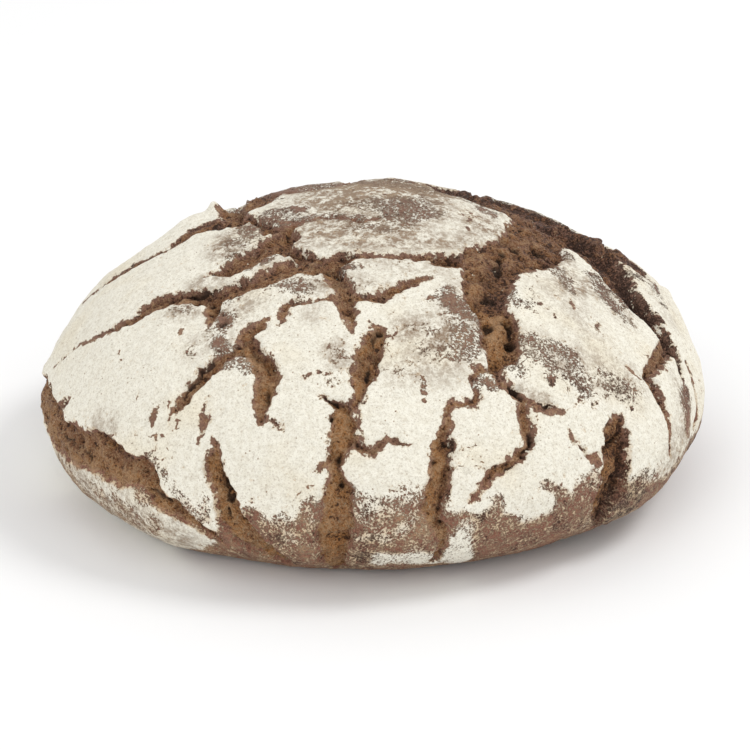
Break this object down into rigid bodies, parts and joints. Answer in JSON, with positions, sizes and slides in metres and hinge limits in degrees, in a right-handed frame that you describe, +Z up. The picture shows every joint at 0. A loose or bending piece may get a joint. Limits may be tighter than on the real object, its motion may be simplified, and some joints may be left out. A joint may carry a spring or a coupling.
{
  "type": "rye bread loaf",
  "caption": "Round rye bread loaf, baked free-standing, with a dark cracked crust in floured plates and a flat underside.",
  "frame": {"origin": "on the flat underside, below the middle of the loaf's box", "axes": "+Z up through the crown, +X to the loaf's right, -Y to its front"},
  "size_m": [0.2626, 0.2554, 0.1076],
  "materials": {
    "crust": "matte baked crust, floured plates over brown cracks"
  },
  "bodies": {
    "root": {"loaf": "crust"}
  },
  "joints": []
}
